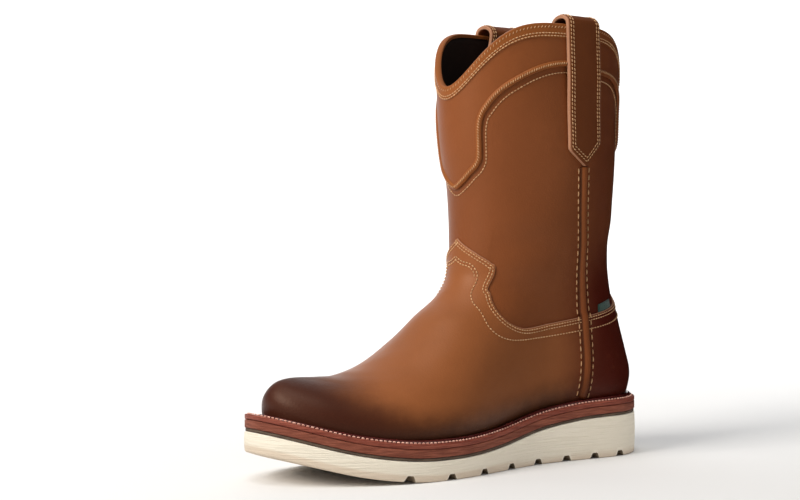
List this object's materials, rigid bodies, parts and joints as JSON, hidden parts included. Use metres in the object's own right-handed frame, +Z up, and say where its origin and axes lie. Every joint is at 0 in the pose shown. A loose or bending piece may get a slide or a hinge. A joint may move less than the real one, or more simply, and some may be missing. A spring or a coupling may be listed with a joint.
{
  "type": "western work boot",
  "caption": "Left pull-on western work boot with a tall scalloped shaft, pull straps, stitched welt and a one-piece wedge sole.",
  "frame": {"origin": "on the floor under the middle of the boot's bounding box", "axes": "+Z up, -Y towards the toe, +X towards the outer side of the left foot"},
  "size_m": [0.1125, 0.305, 0.3016],
  "materials": {
    "wedge_rubber": "matt cream moulded rubber with fine drag lines along its side",
    "grey_rubber": "matt grey-brown rubber",
    "midsole_leather": "red-brown leather edge with fine layer lines",
    "welt_leather": "dark red-brown welt with a waxed bead and light thread",
    "insole_leather": "plain tan insole leather",
    "upper_leather": "oiled smooth brown leather, burnished dark at toe and heel",
    "strap_leather": "brown strap leather with light raw edges and double stitching",
    "seam_leather": "brown leather piping",
    "label_cloth": "plain green woven tab"
  },
  "bodies": {
    "root": {"outsole": "wedge_rubber", "midsole_filler": "grey_rubber", "midsole": "midsole_leather", "welt": "welt_leather", "insole": "insole_leather", "upper": "upper_leather", "pull_strap_outer": "strap_leather", "pull_strap_inner": "strap_leather", "side_seam_outer": "seam_leather", "side_seam_inner": "seam_leather", "label": "label_cloth"}
  },
  "joints": []
}
